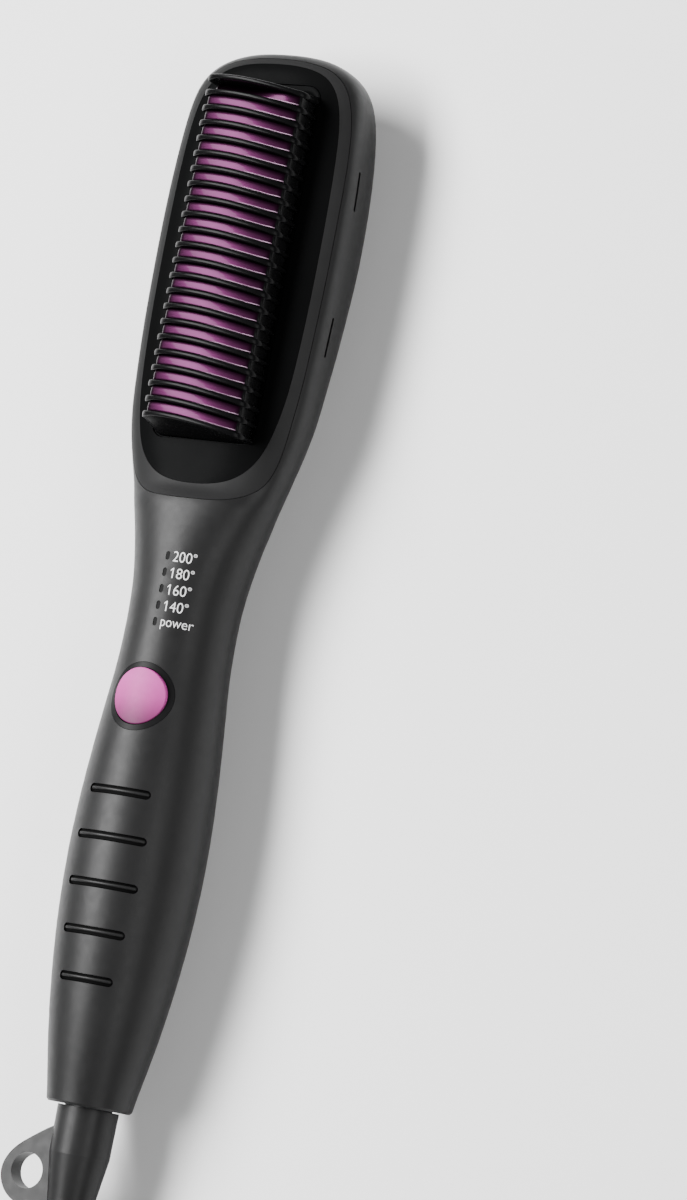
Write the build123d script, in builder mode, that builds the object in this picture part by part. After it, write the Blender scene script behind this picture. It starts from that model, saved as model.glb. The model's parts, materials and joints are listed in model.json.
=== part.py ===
from build123d import *
import math
import os

os.makedirs("parts", exist_ok=True)

# Hair straightening brush, lying on its back. Millimetres.
# X across the head, Y along the handle (head end +Y), Z up out of the comb face.
# Origin: centre of the bounding box in X and Y, on the surface the brush lies on.

# ---------------------------------------------------------------- driving sizes
axis_z = 17.45          # height of the handle's centre line over the table
shift_y = 13.75         # puts the centre of the overall length on the origin
wall = 2.2              # moulded wall thickness
split_h = -9.0          # parting plane of the rear cover, below the centre line
joint_gap = 0.15        # gap between neighbouring covers

rib_pitch = 4.014       # comb ribs along the head
rib_count = 23
rib_first_y = 126.3     # rib nearest the tip, on the centre line
rib_slope = 0.165       # ribs run slightly across the head, straightening towards -X
rib_bow = 0.00025
rib_t = 1.4
rib_half_w = 15.0
rib_top = 19.0
rib_end_top = 17.4
rib_round = 2.8
block_y0, block_y1 = 34.7, 128.6   # footprint of the comb frame
block_half_w = 15.0
block_corner = 4.0

fin_t = 2.4
fin_half_w = 12.9
fin_top = 18.2
fin_end_top = 16.7

button_y = -32.0
button_r = 7.2
button_travel = 0.8
collar_r = 8.75
led_ys = [4.05, -0.17, -4.39, -8.61, -12.83]
led_slot_l, led_slot_w = 2.2, 1.1
groove_ys = [-56.2, -67.8, -79.6, -91.4, -103.1]
groove_half = [8.7, 9.9, 9.9, 8.8, 7.6]
groove_w = 2.3
groove_depth = 0.5
vent_ys = [103.9, 65.8]
vent_l, vent_w = 10.4, 0.9
vent_h = 0.9

tail_y = -134.0
neck_r = 6.0
neck_clear = 0.06
sleeve_r = 7.75
sleeve_end_y = -165.0
cord_bore_r = 3.1
eye_r = 4.5
eye_x, eye_y = -12.6, -152.0
loop_t = 5.0

# station, half width, height over the axis, depth under it, top and bottom roundness
body = [
    (-134.0, 10.75, 10.75, 10.75, 2.0, 2.0),
    (-130.0, 11.37, 11.37, 11.37, 2.0, 2.0),
    (-123.3, 12.57, 12.57, 12.57, 2.0, 2.0),
    (-115.9, 13.82, 13.82, 13.82, 2.0, 2.0),
    (-108.5, 14.86, 14.86, 14.86, 2.0, 2.0),
    (-101.0, 15.74, 15.74, 15.74, 2.0, 2.0),
    (-93.6, 16.46, 16.46, 16.46, 2.0, 2.0),
    (-86.1, 16.97, 16.97, 16.97, 2.0, 2.0),
    (-78.6, 17.28, 17.28, 17.30, 2.0, 2.0),
    (-71.1, 17.40, 17.40, 17.45, 2.0, 2.0),
    (-63.6, 17.29, 17.29, 17.32, 2.0, 2.0),
    (-56.1, 17.00, 17.00, 17.00, 2.0, 2.0),
    (-48.6, 16.55, 16.55, 16.55, 2.0, 2.0),
    (-41.0, 15.96, 15.96, 15.96, 2.0, 2.0),
    (-33.4, 15.28, 15.28, 15.28, 2.0, 2.0),
    (-25.9, 14.63, 14.63, 14.63, 2.0, 2.0),
    (-18.3, 14.16, 14.16, 14.16, 2.0, 2.0),
    (-10.7, 14.12, 14.12, 14.15, 2.0, 2.0),
    (-3.0, 14.55, 14.12, 14.45, 2.0, 2.0),
    (4.6, 15.69, 14.05, 14.80, 2.05, 2.0),
    (12.2, 17.39, 13.55, 14.90, 2.15, 2.0),
    (17.0, 18.70, 12.90, 14.90, 2.25, 2.0),
    (19.9, 19.46, 12.15, 14.80, 2.35, 2.0),
    (23.5, 20.50, 10.00, 14.50, 2.60, 2.05),
    (27.6, 21.65, 9.70, 14.10, 2.80, 2.10),
    (35.3, 23.70, 9.50, 14.00, 3.05, 2.20),
    (43.0, 24.95, 9.30, 14.60, 3.25, 2.35),
    (50.7, 25.50, 9.15, 15.20, 3.40, 2.50),
    (58.4, 25.95, 9.05, 15.70, 3.60, 2.65),
    (66.2, 26.25, 9.00, 16.20, 3.60, 2.85),
    (73.9, 26.45, 9.00, 16.70, 3.60, 3.00),
    (81.7, 26.57, 9.00, 17.15, 3.60, 3.10),
    (89.5, 26.60, 9.00, 17.42, 3.60, 3.20),
    (97.3, 26.50, 9.00, 17.42, 3.60, 3.20),
    (105.1, 26.24, 9.00, 17.25, 3.60, 3.20),
    (113.0, 25.72, 9.00, 16.80, 3.60, 3.20),
    (119.0, 25.20, 8.95, 15.90, 3.60, 3.10),
    (124.5, 24.40, 8.85, 14.60, 3.50, 3.00),
    (129.0, 23.00, 8.60, 12.90, 3.30, 2.85),
    (132.5, 20.60, 8.10, 11.00, 3.00, 2.65),
    (135.0, 17.20, 7.30, 9.00, 2.75, 2.45),
    (136.7, 13.00, 6.10, 6.90, 2.50, 2.25),
    (137.6, 8.20, 4.20, 4.50, 2.20, 2.10),
]

# half outlines on the head's face: the seam round the bezel and the edge of the comb base panel
seam_half = [
    (0.0, 19.3), (6.0, 19.45), (11.0, 20.2), (15.0, 21.9), (18.2, 24.7), (20.4, 28.8),
    (21.9, 34.0), (23.0, 41.0), (23.9, 50.0), (24.55, 62.0), (24.95, 76.0), (25.05, 90.0),
    (24.9, 104.0), (24.3, 115.0), (22.9, 123.5), (20.2, 129.5), (16.0, 133.1), (10.0, 135.0), (4.0, 135.7), (0.0, 135.8),
]
panel_half = [
    (0.0, 23.6), (5.5, 24.0), (10.0, 25.3), (14.0, 28.0), (17.0, 32.0), (19.2, 38.0),
    (20.8, 46.0), (21.8, 57.0), (22.3, 70.0), (22.45, 85.0), (22.3, 100.0), (21.8, 112.0),
    (20.6, 121.5), (18.3, 127.6), (14.6, 131.4), (9.5, 133.3), (4.0, 134.0), (0.0, 134.1),
]


def monotone(xs, ys, x):
    # smooth curve through the stations, with no overshoot between them
    n = len(xs)
    if x <= xs[0]:
        return ys[0]
    if x >= xs[-1]:
        return ys[-1]
    d = [(ys[i + 1] - ys[i]) / (xs[i + 1] - xs[i]) for i in range(n - 1)]
    m = [d[0]] + [0.0] * (n - 2) + [d[-1]]
    for i in range(1, n - 1):
        if d[i - 1] * d[i] > 0:
            w1 = 2 * (xs[i + 1] - xs[i]) + (xs[i] - xs[i - 1])
            w2 = (xs[i + 1] - xs[i]) + 2 * (xs[i] - xs[i - 1])
            m[i] = (w1 + w2) / (w1 / d[i - 1] + w2 / d[i])
    i = max(k for k in range(n - 1) if xs[k] <= x)
    h = xs[i + 1] - xs[i]
    t = (x - xs[i]) / h
    return ((2 * t**3 - 3 * t**2 + 1) * ys[i] + (t**3 - 2 * t**2 + t) * h * m[i]
            + (-2 * t**3 + 3 * t**2) * ys[i + 1] + (t**3 - t**2) * h * m[i + 1])


def section_values(y):
    xs = [s[0] for s in body]
    return [monotone(xs, [s[k] for s in body], y) for k in range(1, 6)]


def section_points(y, inset=0.0, per_quarter=6):
    # points round a section, evenly spaced along each quarter
    a, ht, hb, nt, nb = section_values(y)
    a, ht, hb = a - inset, ht - inset, hb - inset
    quarters = []
    for h, n in ((ht, nt), (hb, nb)):
        fine = []
        for k in range(401):
            t = math.pi / 2 * k / 400
            fine.append((a * math.cos(t) ** (2 / n), h * math.sin(t) ** (2 / n)))
        run = [0.0]
        for p, q in zip(fine, fine[1:]):
            run.append(run[-1] + math.dist(p, q))
        quarter = []
        k = 0
        for i in range(per_quarter + 1):
            want = run[-1] * i / per_quarter
            while k < 399 and run[k + 1] < want:
                k += 1
            f = (want - run[k]) / (run[k + 1] - run[k])
            quarter.append((fine[k][0] + f * (fine[k + 1][0] - fine[k][0]),
                            fine[k][1] + f * (fine[k + 1][1] - fine[k][1])))
        quarters.append(quarter)
    top, low = quarters
    pts = top[:-1] + [(-x, h) for x, h in reversed(top)][:-1]
    return pts + [(-x, -h) for x, h in low][:-1] + [(x, -h) for x, h in reversed(low)][:-1]


def section_wire(y, inset=0.0):
    # closed spline round a section, with the same spacing at every station
    pts = [(x, y + shift_y, axis_z + h) for x, h in section_points(y, inset)]
    n = len(pts)
    pull = n * 0.5 * (math.dist(pts[0], pts[1]) + math.dist(pts[0], pts[-1]))
    return Wire([Edge.make_spline(pts + [pts[0]], tangents=[(0, 0, pull), (0, 0, pull)],
                                  parameters=[i / n for i in range(n + 1)], scale=False)])


def cross_plane(y):
    # across the handle, seen from the tail: local x = X, local y = Z over the centre line
    return Plane(origin=(0, y + shift_y, axis_z), x_dir=(1, 0, 0), z_dir=(0, -1, 0))


def level(h):
    # level plane h over the centre line, local y counted like the stations above
    return Plane(origin=(0, shift_y, axis_z + h))


def side_plane(x):
    # plane square to X: local x = Y, local y = Z over the centre line
    return Plane(origin=(x, shift_y, axis_z), x_dir=(0, 1, 0), z_dir=(1, 0, 0))


def closed_outline(half, inset=0.0):
    # full outline from its right half, moved inwards by inset
    right = []
    for i, (x, y) in enumerate(half):
        x0, y0 = half[i - 1] if i > 0 else (-half[1][0], half[1][1])
        x1, y1 = half[i + 1] if i < len(half) - 1 else (-half[-2][0], half[-2][1])
        dx, dy = x1 - x0, y1 - y0
        run = math.hypot(dx, dy)
        right.append((x - inset * dy / run, y + inset * dx / run))
    left = [(-x, y) for x, y in reversed(right[1:-1])]
    return right + left


outer_stations = [-134, -128, -120, -110, -100, -90, -80, -71, -62, -52, -42, -32, -23, -14.5, -7, 0,
                  6, 12, 16.5, 19.6, 22, 24.5, 29, 36, 44, 53, 63, 75, 87, 99, 109, 117, 123.5, 128.5,
                  132, 134.6, 136.4, 137.6]

with BuildPart() as outer_form:
    add(Solid.make_loft([section_wire(y) for y in outer_stations]))

inner_stations = [-130.8] + [y for y in outer_stations if -129 < y < 131] + [133.2]

with BuildPart() as inner_form:
    add(Solid.make_loft([section_wire(y, wall) for y in inner_stations]))

with BuildPart() as groove_floor:
    add(Solid.make_loft([section_wire(y, groove_depth) for y in [-112, -104, -96, -88, -80, -71, -62, -54, -47]]))

with BuildPart() as seam_cut:
    with BuildSketch(level(3.5)):
        with BuildLine():
            Spline(*closed_outline(seam_half), periodic=True)
        make_face()
    extrude(amount=20)

with BuildPart() as grooves:
    for y, half in zip(groove_ys, groove_half):
        with BuildSketch(level(8)):
            with Locations((0, y)):
                SlotOverall(2 * half, groove_w)
        extrude(amount=14)
    add(groove_floor.part, mode=Mode.SUBTRACT)

housing_screw_xy = [(0, -107.0), (0, 15.8)]
head_screw_xy = [(17.7, 50.0), (-17.7, 50.0), (17.7, 112.0), (-17.7, 112.0)]
pcb_screw_xy = [(0, -89.0), (0, 9.3)]
pcb_h0, pcb_h1 = 5.0, 6.6

# ---------------------------------------------------------------- covers
with BuildPart() as housing_bosses:
    # bosses for the cover screws and the circuit board screws
    with BuildSketch(level(split_h)):
        with Locations((0, -107.0)):
            Circle(3.2)
    extrude(amount=22.4)
    with BuildSketch(level(split_h)):
        with Locations((0, 15.8)):
            Circle(3.0)
    extrude(amount=20.6)
    with BuildSketch(level(pcb_h1)):
        with Locations((0, -89.0)):
            Circle(2.5)
    extrude(amount=8.8)
    with BuildSketch(level(pcb_h1)):
        with Locations((0, 9.3)):
            Circle(2.5)
    extrude(amount=5.8)
    with BuildSketch(level(split_h)):
        with Locations(*housing_screw_xy):
            Circle(1.1)
    extrude(amount=9, mode=Mode.SUBTRACT)
    with BuildSketch(level(pcb_h1)):
        with Locations(*pcb_screw_xy):
            Circle(0.9)
    extrude(amount=4.5, mode=Mode.SUBTRACT)

with BuildPart() as housing_cuts:
    # rear opening
    with BuildSketch(level(split_h)):
        with Locations((0, 15.0)):
            Rectangle(70, 278)
    extrude(amount=-20)
    # button collar and indicator windows
    with BuildSketch(level(5)):
        with Locations((0, button_y)):
            Circle(collar_r + 0.1)
    extrude(amount=15)
    with BuildSketch(level(8)):
        for y in led_ys:
            with Locations(Location((0, y), 90)):
                SlotOverall(led_slot_l, led_slot_w)
    extrude(amount=10)
    # vent slots in both side walls
    with BuildSketch(side_plane(20)):
        for y in vent_ys:
            with Locations((y, vent_h)):
                SlotOverall(vent_l, vent_w)
    extrude(amount=10)
    with BuildSketch(side_plane(-20)):
        for y in vent_ys:
            with Locations((y, vent_h)):
                SlotOverall(vent_l, vent_w)
    extrude(amount=-10)
    # swivel bore
    with BuildSketch(cross_plane(-130.0)):
        Circle(neck_r + neck_clear)
    extrude(amount=10)
    # small chamfer round the tail end
    with BuildSketch(side_plane(0)):
        with BuildLine():
            Polyline((-134.6, 9.65), (-133.0, 11.25), (-133.0, 12.5), (-134.6, 12.5), close=True)
        make_face()
    revolve(axis=Axis((0, 0, axis_z), (0, 1, 0)))

with BuildPart() as front_housing:
    add(outer_form.part)
    # hollow, rear opening, bezel opening with its ledge, grip grooves, windows, vents and bore
    add([inner_form.part, seam_cut.part, grooves.part, housing_cuts.part], mode=Mode.SUBTRACT)
    add(housing_bosses.part)

with BuildPart() as cover_bosses:
    with BuildSketch(level(split_h - joint_gap)):
        with Locations(*housing_screw_xy):
            Circle(3.6)
    extrude(amount=-4.9)
    with BuildSketch(level(split_h - joint_gap)):
        with Locations(*head_screw_xy):
            Circle(3.4)
    extrude(amount=-3.0)
    # the head bosses stand up past the parting plane, so that the screw heads sit below the curved surface
    with BuildSketch(level(split_h - joint_gap)):
        with Locations(*head_screw_xy):
            Circle(3.0)
    extrude(amount=1.5)
    add(outer_form.part, mode=Mode.INTERSECT)

with BuildPart() as cover_holes:
    with BuildSketch(level(split_h)):
        with Locations(*housing_screw_xy):
            Circle(1.45)
    extrude(amount=-14)
    with BuildSketch(level(split_h + 2)):
        with Locations(*head_screw_xy):
            Circle(1.45)
    extrude(amount=-16)
    with BuildSketch(level(-12.3)):
        with Locations(*housing_screw_xy):
            Circle(2.8)
    extrude(amount=-10)
    with BuildSketch(level(-9.5)):
        with Locations(*head_screw_xy):
            Circle(2.8)
    extrude(amount=-10)

with BuildPart() as rear_cover:
    with BuildSketch(level(split_h - joint_gap)):
        with Locations((0, 15.0)):
            Rectangle(70, 277.7)
    extrude(amount=-20)
    add(outer_form.part, mode=Mode.INTERSECT)
    add(inner_form.part, mode=Mode.SUBTRACT)
    add(cover_bosses.part)
    add(cover_holes.part, mode=Mode.SUBTRACT)

with BuildPart() as head_bezel:
    with BuildSketch(level(3.55)):
        with BuildLine():
            Spline(*closed_outline(seam_half, joint_gap), periodic=True)
        make_face()
    extrude(amount=12)
    with BuildSketch(level(5.4)):
        with BuildLine():
            Spline(*closed_outline(panel_half), periodic=True)
        make_face()
    extrude(amount=14, mode=Mode.SUBTRACT)
    with BuildSketch(level(3.0)):
        with BuildLine():
            Spline(*closed_outline(panel_half, 1.5), periodic=True)
        make_face()
    extrude(amount=4, mode=Mode.SUBTRACT)
    add(outer_form.part, mode=Mode.INTERSECT)

with BuildPart() as panel_bosses:
    with BuildSketch(level(6.0)):
        with Locations(*head_screw_xy):
            Circle(2.15)
    extrude(amount=split_h + 1.5 - 6.0)
    with BuildSketch(level(split_h)):
        with Locations(*head_screw_xy):
            Circle(1.1)
    extrude(amount=9, mode=Mode.SUBTRACT)

with BuildPart() as comb_base_panel:
    with BuildSketch(level(5.4)):
        with BuildLine():
            Spline(*closed_outline(panel_half, 0.1), periodic=True)
        make_face()
    extrude(amount=9)
    add(outer_form.part, mode=Mode.INTERSECT)
    with BuildSketch(level(4)):
        with Locations((0, (block_y0 + block_y1) / 2)):
            RectangleRounded(2 * block_half_w + 0.2, block_y1 - block_y0 + 0.2, block_corner + 0.1)
    extrude(amount=10, mode=Mode.SUBTRACT)
    add(panel_bosses.part)

# ---------------------------------------------------------------- comb and heater
def rib_line(y, x):
    # station of a rib at x, for a rib that crosses the centre line at y
    return y - rib_slope * x + rib_bow * ((x - 12.0) ** 3 + 1728.0) / 3.0


def rib_outline(y, half_w, half_t):
    # plan outline of a rib or fin
    xs = [-half_w + 2.0 * half_w * i / 6 for i in range(7)]
    return ([(x, rib_line(y, x) + half_t) for x in xs], [(x, rib_line(y, x) - half_t) for x in reversed(xs)])


rib_ys = [rib_first_y - rib_pitch * i for i in range(rib_count)]
fin_ys = [rib_first_y - rib_pitch * (i + 0.5) for i in range(rib_count - 1)]
rail_h = 10.4
flange_y0, flange_y1 = 30.7, 131.2
tray_screw_xy = [(9.5, 32.4), (-9.5, 32.4), (9.5, 129.9), (-9.5, 129.9)]

with BuildPart() as rib_arch:
    # the rounded outline that all the ribs end on, seen along the handle
    with BuildSketch(cross_plane(28.0)):
        with BuildLine():
            l1 = Line((-rib_half_w, 7.4), (-rib_half_w, rib_end_top - rib_round))
            l2 = RadiusArc(l1 @ 1, (-rib_half_w + rib_round, rib_end_top), rib_round)
            l3 = ThreePointArc(l2 @ 1, (0, rib_top), (rib_half_w - rib_round, rib_end_top))
            l4 = RadiusArc(l3 @ 1, (rib_half_w, rib_end_top - rib_round), rib_round)
            Polyline(l4 @ 1, (rib_half_w, 7.4), (rib_half_w - 1.6, 7.4), (rib_half_w - 1.6, 11.5),
                     (-rib_half_w + 1.6, 11.5), (-rib_half_w + 1.6, 7.4), l1 @ 0)
        make_face()
    extrude(amount=-106)

with BuildPart() as comb_ribs:
    with BuildSketch(level(7.0)):
        for y in rib_ys:
            upper, lower = rib_outline(y, rib_half_w + 0.5, rib_t / 2)
            with BuildLine():
                u = Spline(*upper)
                w = Spline(*lower)
                Line(u @ 1, w @ 0)
                Line(w @ 1, u @ 0)
            make_face()
    extrude(amount=13)
    add(rib_arch.part, mode=Mode.INTERSECT)

with BuildPart() as comb_frame:
    # surround, a rounded box with the heater opening
    with BuildSketch(level(3.8)):
        with Locations((0, (block_y0 + block_y1) / 2)):
            RectangleRounded(2 * block_half_w, block_y1 - block_y0, block_corner)
    extrude(amount=rail_h - 3.8)
    with BuildSketch(level(3.8)):
        with Locations((0, (flange_y0 + flange_y1) / 2)):
            RectangleRounded(2 * block_half_w, flange_y1 - flange_y0, block_corner)
    extrude(amount=1.6)
    with BuildSketch(level(3.0)):
        with Locations((0, 81.2)):
            RectangleRounded(26.6, 88.8, 2.0)
    extrude(amount=10, mode=Mode.SUBTRACT)
    # ribs
    add(comb_ribs.part)
    # end walls, leaning from the straight footprint to the slanted end ribs
    for y_floor, sign, y_rib in ((block_y0, 1, rib_ys[-1]), (block_y1, -1, rib_ys[0])):
        lo = y_floor
        hi = y_floor + sign * 1.5
        ra = rib_line(y_rib, -14.0)
        rm = rib_line(y_rib, 0.0)
        rb = rib_line(y_rib, 14.0)
        h = rib_t / 2
        with BuildSketch(level(rail_h - 0.6)):
            with BuildLine():
                Polyline((-13.0, lo), (0.0, lo), (13.0, lo), (13.0, hi), (0.0, hi), (-13.0, hi), close=True)
            make_face()
        with BuildSketch(level(rib_end_top - 0.4)):
            with BuildLine():
                Polyline((-14.0, ra - sign * h), (0.0, rm - sign * h), (14.0, rb - sign * h),
                         (14.0, rb + sign * h), (0.0, rm + sign * h), (-14.0, ra + sign * h), close=True)
            make_face()
        loft(ruled=True)

with BuildPart() as fin_arch:
    with BuildSketch(cross_plane(28.0)):
        with BuildLine():
            f1 = Line((-fin_half_w, 10.4), (-fin_half_w, fin_end_top - 1.2))
            f2 = RadiusArc(f1 @ 1, (-fin_half_w + 1.2, fin_end_top), 1.2)
            f3 = ThreePointArc(f2 @ 1, (0, fin_top), (fin_half_w - 1.2, fin_end_top))
            f4 = RadiusArc(f3 @ 1, (fin_half_w, fin_end_top - 1.2), 1.2)
            Polyline(f4 @ 1, (fin_half_w, 10.4), f1 @ 0)
        make_face()
    extrude(amount=-106)

with BuildPart() as plate_fins:
    with BuildSketch(level(10.0)):
        for y in fin_ys:
            upper, lower = rib_outline(y, fin_half_w + 0.5, fin_t / 2)
            with BuildLine():
                u = Spline(*upper)
                w = Spline(*lower)
                Line(u @ 1, w @ 0)
                Line(w @ 1, u @ 0)
            make_face()
    extrude(amount=8)
    add(fin_arch.part, mode=Mode.INTERSECT)

with BuildPart() as heating_plate:
    with BuildSketch(level(8.6)):
        with Locations((0, (37.2 + 125.2) / 2)):
            RectangleRounded(2 * fin_half_w, 125.2 - 37.2, 1.5)
    extrude(amount=2.4)
    add(plate_fins.part)

with BuildPart() as heater_insulator:
    with BuildSketch(level(8.3)):
        with Locations((0, 81.2)):
            RectangleRounded(24.0, 84.0, 1.0)
    extrude(amount=0.3)

with BuildPart() as ptc_heaters:
    with BuildSketch(level(5.8)):
        with GridLocations(0, 28.0, 1, 3):
            with Locations((0, 81.2)):
                Rectangle(18.0, 24.0)
    extrude(amount=2.5)

with BuildPart() as heater_clamp_plate:
    with BuildSketch(level(4.6)):
        with Locations((0, 81.2)):
            RectangleRounded(24.0, 84.0, 1.5)
    extrude(amount=1.2)

with BuildPart() as heater_tray:
    with BuildSketch(level(1.8)):
        with Locations((0, (flange_y0 + flange_y1) / 2)):
            RectangleRounded(2 * block_half_w, flange_y1 - flange_y0, block_corner)
        with Locations((0, 81.2)):
            Rectangle(14.0, 60.0, mode=Mode.SUBTRACT)
    extrude(amount=2.0)
    with BuildSketch(level(3.8)):
        with Locations((0, 44.5), (0, 117.9)):
            Rectangle(22.0, 5.0)
    extrude(amount=0.8)
    with BuildSketch(level(1.8)):
        with Locations(*tray_screw_xy):
            Circle(1.2)
    extrude(amount=3, mode=Mode.SUBTRACT)

with BuildPart() as frame_holes:
    with BuildSketch(level(3.8)):
        with Locations(*tray_screw_xy):
            Circle(0.9)
    extrude(amount=1.6)

with BuildPart() as heater_screws:
    with BuildSketch(level(1.8)):
        with Locations(*tray_screw_xy):
            Circle(1.6)
    extrude(amount=-1.2)
    with BuildSketch(level(1.8)):
        with Locations(*tray_screw_xy):
            Circle(0.85)
    extrude(amount=3.4)

with BuildPart() as thermistor:
    with BuildSketch(side_plane(-2.0)):
        with Locations((92.0, 3.25)):
            Circle(1.3)
    extrude(amount=4.0)

with BuildPart() as thermal_fuse:
    with BuildSketch(cross_plane(74.0)):
        with Locations((0, 2.75)):
            Circle(1.8)
    extrude(amount=10.0)

# ---------------------------------------------------------------- circuit board
with BuildPart() as main_pcb:
    with BuildSketch(level(pcb_h0)):
        with Locations((0, -43.0)):
            RectangleRounded(17.0, 110.0, 1.5)
        with Locations(*pcb_screw_xy):
            Circle(1.15, mode=Mode.SUBTRACT)
    extrude(amount=pcb_h1 - pcb_h0)

with BuildPart() as pcb_screws:
    with BuildSketch(level(pcb_h0)):
        with Locations(*pcb_screw_xy):
            Circle(1.9)
    extrude(amount=-1.3)
    with BuildSketch(level(pcb_h0)):
        with Locations(*pcb_screw_xy):
            Circle(0.85)
    extrude(amount=5.5)

with BuildPart() as microcontroller:
    with BuildSketch(level(pcb_h1)):
        with Locations((0, -55.0)):
            RectangleRounded(6.0, 7.5, 0.3)
    extrude(amount=1.4)

with BuildPart() as power_triac:
    with BuildSketch(level(pcb_h0)):
        with Locations((0, -20.0)):
            Rectangle(10.2, 15.0)
    extrude(amount=-4.5)

with BuildPart() as filter_capacitor:
    with BuildSketch(level(pcb_h0)):
        with Locations((0, -70.0)):
            RectangleRounded(12.5, 17.5, 0.8)
    extrude(amount=-9.0)

with BuildPart() as indicator_leds:
    with BuildSketch(level(pcb_h1)):
        with Locations(*[(0, y) for y in led_ys]):
            Rectangle(0.8, 1.6)
    extrude(amount=0.7)

with BuildPart() as light_guide:
    with BuildSketch(level(7.6)):
        with Locations((0, led_ys[2])):
            RectangleRounded(6.0, 20.0, 1.0)
    extrude(amount=1.2)
    with BuildSketch(level(7.6)):
        for y in led_ys:
            with Locations(Location((0, y), 90)):
                SlotOverall(led_slot_l - 0.14, led_slot_w - 0.14)
    extrude(amount=10)
    with BuildSketch(level(7.6)):
        with Locations((0, led_ys[2])):
            RectangleRounded(8.0, 22.0, 1.0)
    extrude(amount=6.35, mode=Mode.INTERSECT)

with BuildPart() as switch_base:
    with BuildSketch(level(pcb_h1)):
        with Locations((0, button_y)):
            Rectangle(6.0, 6.0)
    extrude(amount=3.3)
    with BuildSketch(level(pcb_h1 + 1.4)):
        with Locations((0, button_y)):
            Circle(1.8)
    extrude(amount=5, mode=Mode.SUBTRACT)

with BuildPart() as switch_plunger:
    with BuildSketch(level(pcb_h1 + 2.4)):
        with Locations((0, button_y)):
            Circle(1.7)
    extrude(amount=2.0)

# ---------------------------------------------------------------- button
with BuildPart() as power_button:
    with BuildSketch(level(12.0)):
        with Locations((0, button_y)):
            Circle(button_r)
    extrude(amount=6)
    with BuildSketch(cross_plane(button_y + 12)):
        with Locations((0, -1.6)):
            Circle(17.2)
    extrude(amount=24, mode=Mode.INTERSECT)
    fillet(power_button.edges().filter_by(GeomType.LINE, reverse=True).group_by(Axis.Z)[-1], 0.3)
    with BuildSketch(level(11.0)):
        with Locations((0, button_y)):
            Circle(2.6)
    extrude(amount=1.2)

with BuildPart() as button_collar:
    add(outer_form.part)
    with BuildSketch(level(8.4)):
        with Locations((0, button_y)):
            Circle(collar_r)
            Circle(button_r + 0.2, mode=Mode.SUBTRACT)
    extrude(amount=10, mode=Mode.INTERSECT)

# ---------------------------------------------------------------- fasteners of the covers
with BuildPart() as housing_screws:
    with BuildSketch(level(-12.3)):
        with Locations(*housing_screw_xy):
            Circle(2.5)
    extrude(amount=-1.5)
    with BuildSketch(level(-12.3)):
        with Locations(*housing_screw_xy):
            Circle(1.05)
    extrude(amount=9.5)
    with BuildSketch(level(-9.5)):
        with Locations(*head_screw_xy):
            Circle(2.5)
    extrude(amount=-1.1)
    with BuildSketch(level(-9.5)):
        with Locations(*head_screw_xy):
            Circle(1.05)
    extrude(amount=8.5)

# ---------------------------------------------------------------- swivel and cord outlet
with BuildPart() as swivel_core:
    with BuildSketch(cross_plane(-128.0)):
        Circle(8.6)
    extrude(amount=2.0)
    with BuildSketch(cross_plane(-130.0)):
        Circle(neck_r)
    extrude(amount=12.0)
    with BuildSketch(cross_plane(-118.0)):
        Circle(3.6)
    extrude(amount=10.0)
    with BuildSketch(cross_plane(-110.0)):
        Circle(1.6)
    extrude(amount=32.0, mode=Mode.SUBTRACT)

with BuildPart() as slip_rings:
    for y in (-119.6, -124.0):
        with BuildSketch(cross_plane(y)):
            Circle(4.4)
            Circle(3.6, mode=Mode.SUBTRACT)
        extrude(amount=2.2)

with BuildPart() as contact_block:
    with BuildSketch(level(-9.0)):
        with Locations((0, -120.5)):
            Rectangle(7.6, 9.5)
    extrude(amount=2.6)

with BuildPart() as contact_springs:
    for y in (-119.6, -124.0):
        with BuildSketch(cross_plane(y - 0.3)):
            with Locations((0, -5.45)):
                Rectangle(5.0, 1.9)
        extrude(amount=1.6)

with BuildPart() as cord_sleeve:
    with BuildSketch(side_plane(0)):
        with BuildLine():
            Polyline((tail_y - 0.3, 0), (tail_y - 0.3, sleeve_r), (-146.0, sleeve_r - 0.15), (-157.0, 6.0),
                     (sleeve_end_y + 0.8, 5.2), (sleeve_end_y, 4.5), (sleeve_end_y, 0), close=True)
        make_face()
    revolve(axis=Axis((0, 0, axis_z), (0, 1, 0)))
    with BuildSketch(level(-loop_t / 2)):
        with BuildLine():
            Spline((0.0, -137.5), (-6.0, -139.2), (-12.5, -143.2), (-18.2, -148.2), (-19.9, -153.0),
                   (-17.6, -158.2), (-12.0, -161.0), (-5.5, -162.2), (0.0, -162.8))
            Line((0.0, -162.8), (0.0, -137.5))
        make_face()
    extrude(amount=loop_t)
    with BuildSketch(level(-loop_t)):
        with Locations((eye_x, eye_y)):
            Circle(eye_r)
    extrude(amount=2 * loop_t, mode=Mode.SUBTRACT)
    # socket for the neck, and the cord outlet
    with BuildSketch(cross_plane(-130.0)):
        Circle(neck_r)
    extrude(amount=12.0, mode=Mode.SUBTRACT)
    with BuildSketch(cross_plane(-140.0)):
        Circle(cord_bore_r)
    extrude(amount=30.0, mode=Mode.SUBTRACT)

# ---------------------------------------------------------------- internal wiring
with BuildPart() as mains_wires:
    for x in (-4.6, 4.6):
        with BuildLine() as route:
            FilletPolyline((x, -114.0 + shift_y, axis_z - 5.6), (x, -104.0 + shift_y, axis_z - 4.5),
                           (x, -96.5 + shift_y, axis_z - 0.5), (x, -95.0 + shift_y, axis_z + 4.75), radius=2.6)
        with BuildSketch(Plane(origin=route.line @ 0, z_dir=route.line % 0)):
            Circle(0.8)
        sweep(path=route.line)

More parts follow.
